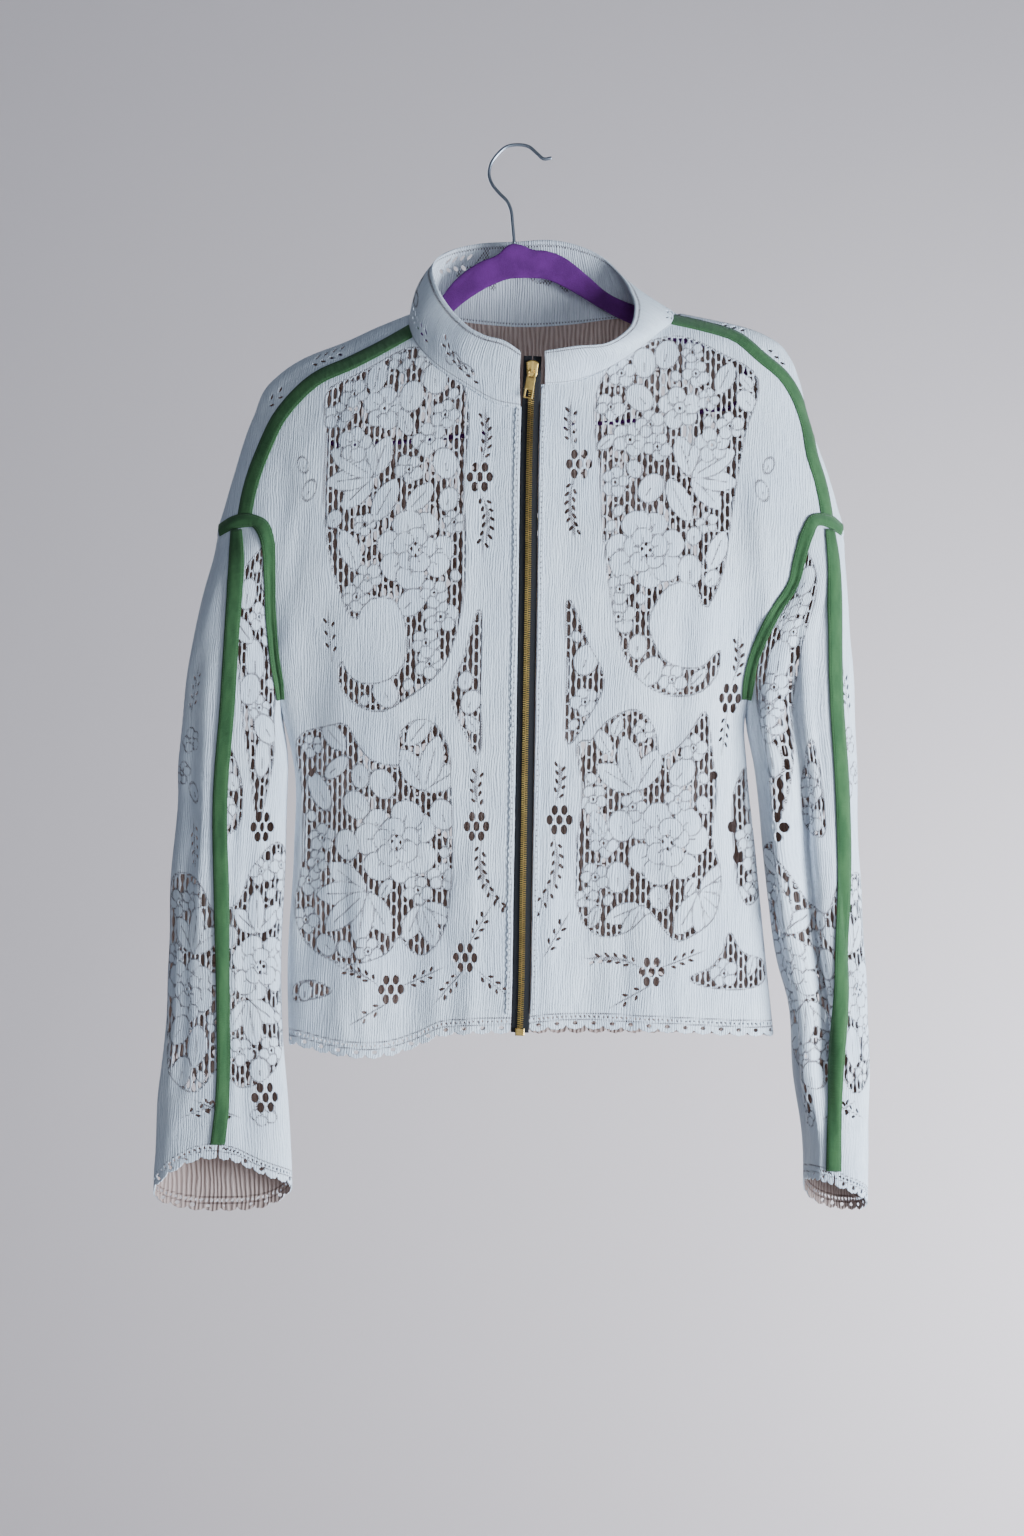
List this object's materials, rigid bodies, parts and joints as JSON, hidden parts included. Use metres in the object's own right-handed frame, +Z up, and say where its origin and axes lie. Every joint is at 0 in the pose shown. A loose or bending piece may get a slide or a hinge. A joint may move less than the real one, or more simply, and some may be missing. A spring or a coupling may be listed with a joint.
{
  "type": "track jacket on a clothes hanger",
  "caption": "Cropped zip-up track jacket in cut lace cloth with bias-tape stripes and a stand collar, hung open-necked on a slim flocked hanger with a wire hook.",
  "frame": {"origin": "underside of the hook's crown, where the nail or rail carries the hanger", "axes": "+Z up, +X to the right of a person who faces the jacket's front, +Y to the wall behind"},
  "size_m": [0.6676, 0.096, 1.0068],
  "materials": {
    "lace_cloth": "white slubbed cotton lace cloth",
    "bias_tape": "matt green bias tape",
    "zip_tape": "black woven tape",
    "zip_metal": "gold coloured metal",
    "hanger_flock": "purple flock",
    "hook_wire": "polished steel wire"
  },
  "bodies": {
    "jacket": {"front_left": "lace_cloth", "front_right": "lace_cloth", "back": "lace_cloth", "sleeve_left_front": "lace_cloth", "sleeve_left_back": "lace_cloth", "sleeve_right_front": "lace_cloth", "sleeve_right_back": "lace_cloth", "collar": "lace_cloth", "placket_edge_left": "lace_cloth", "placket_edge_right": "lace_cloth", "shoulder_stripe_left": "bias_tape", "shoulder_stripe_right": "bias_tape", "sleeve_stripe_left": "bias_tape", "sleeve_stripe_right": "bias_tape", "armhole_binding_left_front": "bias_tape", "armhole_binding_left_back": "bias_tape", "armhole_binding_right_front": "bias_tape", "armhole_binding_right_back": "bias_tape", "zip_tape_left": "zip_tape", "zip_tape_right": "zip_tape", "zip_chain": "zip_metal", "zip_slider": "zip_metal", "zip_bridge": "zip_metal", "zip_stop": "zip_metal", "hanger_body": "hanger_flock", "hanger_bar": "hanger_flock", "hanger_hook": "hook_wire"},
    "pull_tab": {"zip_pull": "zip_metal"}
  },
  "joints": [
    {"name": "pull_hinge", "type": "hinge", "parent": "jacket", "child": "pull_tab", "pos_m": [0.01519, -0.06378, -0.22222], "axis": [-1, 0, 0], "range_deg": [0, 120]}
  ]
}
